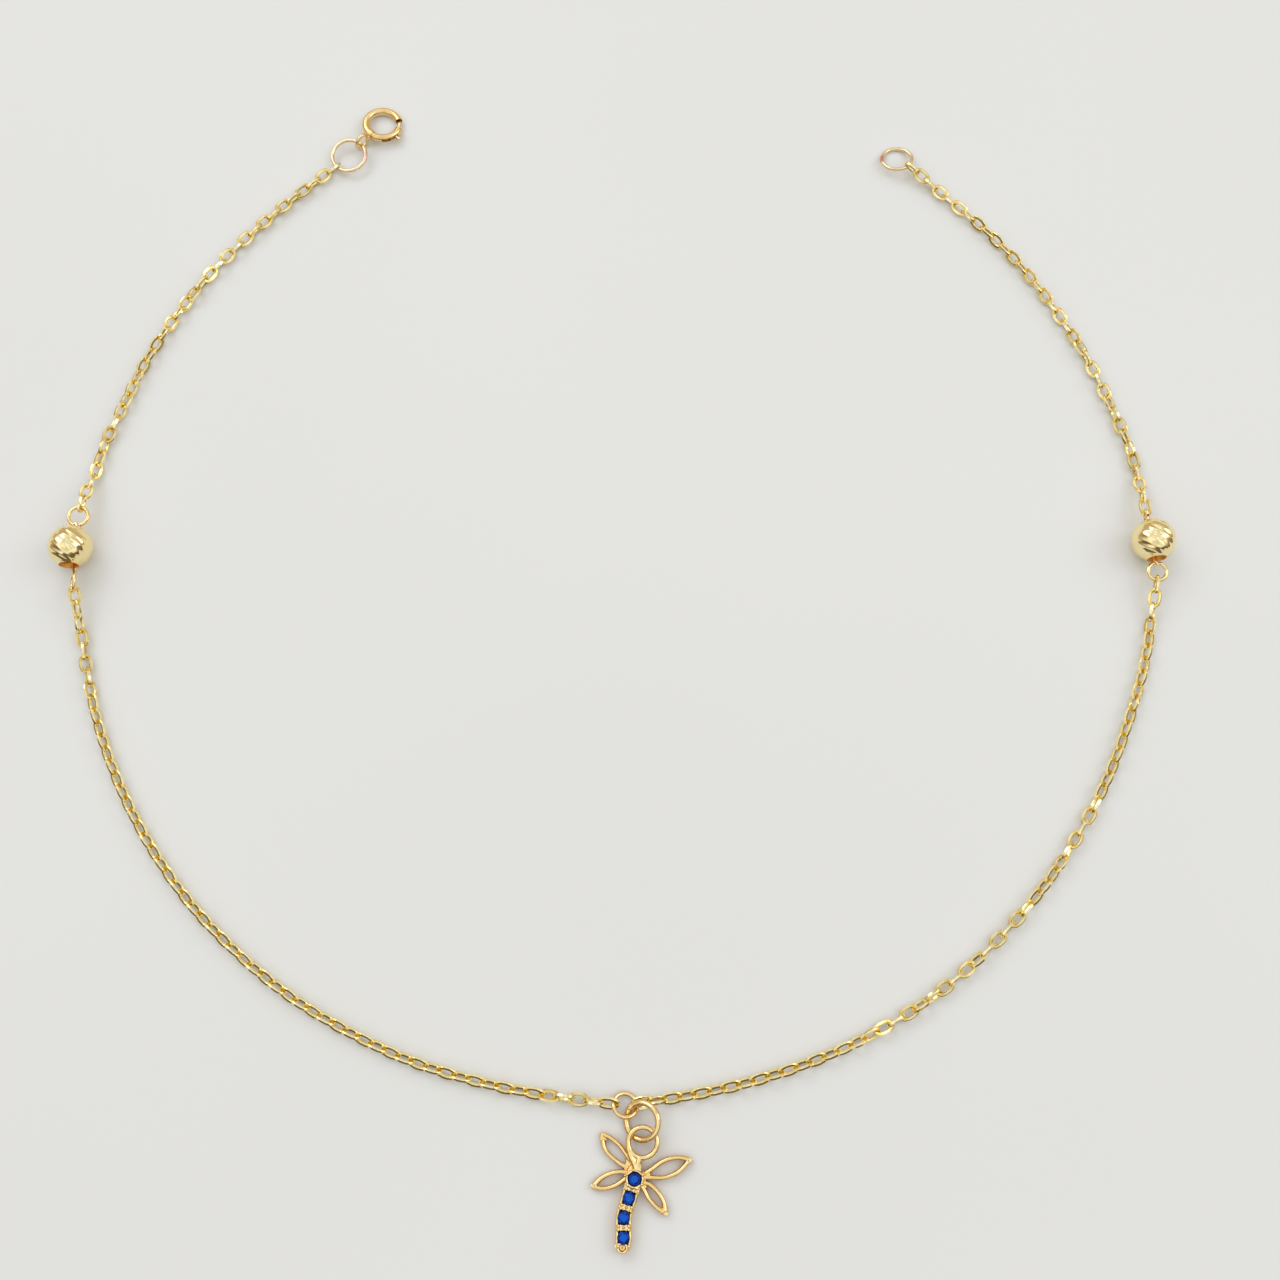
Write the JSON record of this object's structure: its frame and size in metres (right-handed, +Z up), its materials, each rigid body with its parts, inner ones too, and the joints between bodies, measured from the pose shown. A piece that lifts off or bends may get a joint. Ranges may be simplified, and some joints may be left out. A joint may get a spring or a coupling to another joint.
{
  "type": "charm anklet",
  "caption": "Fine cable-chain anklet with side beads, a palm-tree charm set with round blue stones, jump rings and a spring-ring clasp, lying open in its loop.",
  "frame": {"origin": "middle of the footprint, on the surface the anklet lies on", "axes": "+Z up from the surface; +Y towards the clasp and end ring, with the charm at -Y; +X to the right seen from above"},
  "size_m": [0.101, 0.1062, 0.0039],
  "materials": {
    "chain_gold": "polished light yellow gold plate",
    "ring_gold": "polished warm gold plate",
    "clasp_gold": "polished deep gold plate",
    "bead_gold": "mirror-bright cut facets",
    "stone_blue": "polished royal-blue cut stone"
  },
  "bodies": {
    "anklet": {"clasp_body": "clasp_gold", "clasp_jump_ring": "ring_gold", "chain_upper_left": "chain_gold", "bead_left": "bead_gold", "bead_pin_left": "chain_gold", "chain_lower_left": "chain_gold", "centre_ring": "ring_gold", "charm_ring": "ring_gold", "palm_charm": "ring_gold", "stone_1": "stone_blue", "stone_2": "stone_blue", "stone_3": "stone_blue", "stone_4": "stone_blue", "chain_lower_right": "chain_gold", "bead_right": "bead_gold", "bead_pin_right": "chain_gold", "chain_upper_right": "chain_gold", "end_ring": "ring_gold"},
    "trigger": {"clasp_trigger": "clasp_gold"}
  },
  "joints": [
    {"name": "clasp_trigger_turn", "type": "hinge", "parent": "anklet", "child": "trigger", "pos_m": [-0.02286, 0.05106, 0.00058], "axis": [-0.0857, -0.1004, -0.9913], "range_deg": [0, 38], "stiffness_Nm_per_rad": 0.002, "springref_deg": -11.46}
  ]
}
